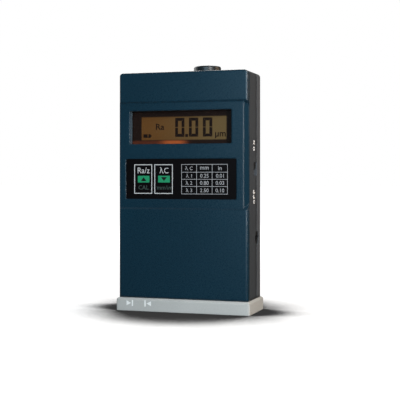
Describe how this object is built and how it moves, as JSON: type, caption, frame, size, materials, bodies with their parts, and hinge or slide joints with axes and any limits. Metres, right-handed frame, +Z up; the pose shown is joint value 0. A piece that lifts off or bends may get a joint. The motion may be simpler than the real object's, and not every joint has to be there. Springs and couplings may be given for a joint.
{
  "type": "surface roughness tester",
  "caption": "Pocket instrument in a flat upright case on a foot, with display window, membrane keys, push button on top and a stylus drive inside, for measuring surface roughness.",
  "frame": {"origin": "middle of the foot on the surface that the tester stands on", "axes": "+Z up, front face with display and keys towards -Y, +X to the right seen from the front"},
  "size_m": [0.0728, 0.0286, 0.1283],
  "materials": {
    "front_shell": "fine texture",
    "frame_shell": "fine texture",
    "rear_shell": "fine texture",
    "foot": "satin",
    "window": "clear",
    "display": "satin",
    "film": "semi-gloss",
    "button": "gloss",
    "black_plastic": "moulded",
    "white_plastic": "moulded",
    "board": "lacquered",
    "cell_sleeve": "shrink sleeve",
    "steel": "machined",
    "aluminium": "machined",
    "brass": "turned",
    "ceramic": "fired",
    "diamond": "polished"
  },
  "bodies": {
    "case": {"front_cover": "front_shell", "middle_frame": "frame_shell", "rear_cover": "rear_shell", "base_foot": "foot", "display_window": "window", "lcd_panel": "display", "keypad_overlay": "film", "button_bush": "black_plastic", "power_switch": "black_plastic", "charging_jack": "black_plastic", "lcd_holder": "black_plastic", "key_switches": "black_plastic", "board_parts": "black_plastic", "start_switch": "black_plastic", "battery_holder": "black_plastic", "limit_switches": "black_plastic", "main_board": "board", "battery_cells": "cell_sleeve", "board_screws": "steel", "start_spring": "steel", "battery_contacts": "steel", "chassis_screws": "steel", "drive_motor": "steel", "motor_screws": "steel", "guide_rods": "steel", "case_screws": "steel", "base_screws": "steel", "drive_chassis": "aluminium", "screw_bearings": "brass"},
    "start_button": {"start_button": "button"},
    "left_key": {"key_plunger_left": "white_plastic"},
    "right_key": {"key_plunger_right": "white_plastic"},
    "power_slider": {"power_slider": "black_plastic"},
    "screw": {"lead_screw": "steel", "drive_gear": "brass"},
    "pinion": {"motor_shaft": "steel", "motor_pinion": "brass"},
    "carriage": {"carriage": "black_plastic", "pickup_body": "aluminium", "skid": "steel", "pivot_pin": "steel", "piezo_element": "ceramic"},
    "stylus": {"stylus_arm": "steel", "stylus_tip": "diamond"}
  },
  "joints": [
    {"name": "start_button_press", "type": "slide", "parent": "case", "child": "start_button", "axis": [0, 0, -1], "range_m": [0, 0.0015], "stiffness_N_per_m": 600, "springref_m": -0.002, "deforming": ["start_spring"]},
    {"name": "left_key_press", "type": "slide", "parent": "case", "child": "left_key", "axis": [0, 1, 0], "range_m": [0, 0.0004], "stiffness_N_per_m": 2500, "springref_m": -0.0004},
    {"name": "right_key_press", "type": "slide", "parent": "case", "child": "right_key", "axis": [0, 1, 0], "range_m": [0, 0.0004], "stiffness_N_per_m": 2500, "springref_m": -0.0004},
    {"name": "power_switch_slide", "type": "slide", "parent": "case", "child": "power_slider", "axis": [0, 0, -1], "range_m": [0, 0.0034]},
    {"name": "screw_spin", "type": "hinge", "parent": "case", "child": "screw", "pos_m": [0, 0, 0.024], "axis": [1, 0, 0], "range_deg": [0, 2160]},
    {"name": "pinion_spin", "type": "hinge", "parent": "case", "child": "pinion", "pos_m": [0.02, 0, 0.03405], "axis": [1, 0, 0], "range_deg": [-6480, 0]},
    {"name": "carriage_slide", "type": "slide", "parent": "case", "child": "carriage", "axis": [1, 0, 0], "range_m": [0, 0.006]},
    {"name": "stylus_tilt", "type": "hinge", "parent": "carriage", "child": "stylus", "pos_m": [-0.016, 0, 0.015], "axis": [0, 1, 0], "range_deg": [-1.5, 1.5], "stiffness_Nm_per_rad": 0.0065}
  ],
  "couplings": [
    {"joint": "screw_spin", "follows": "carriage_slide", "rad_per_m": 6283.2},
    {"joint": "pinion_spin", "follows": "carriage_slide", "rad_per_m": -18850}
  ]
}
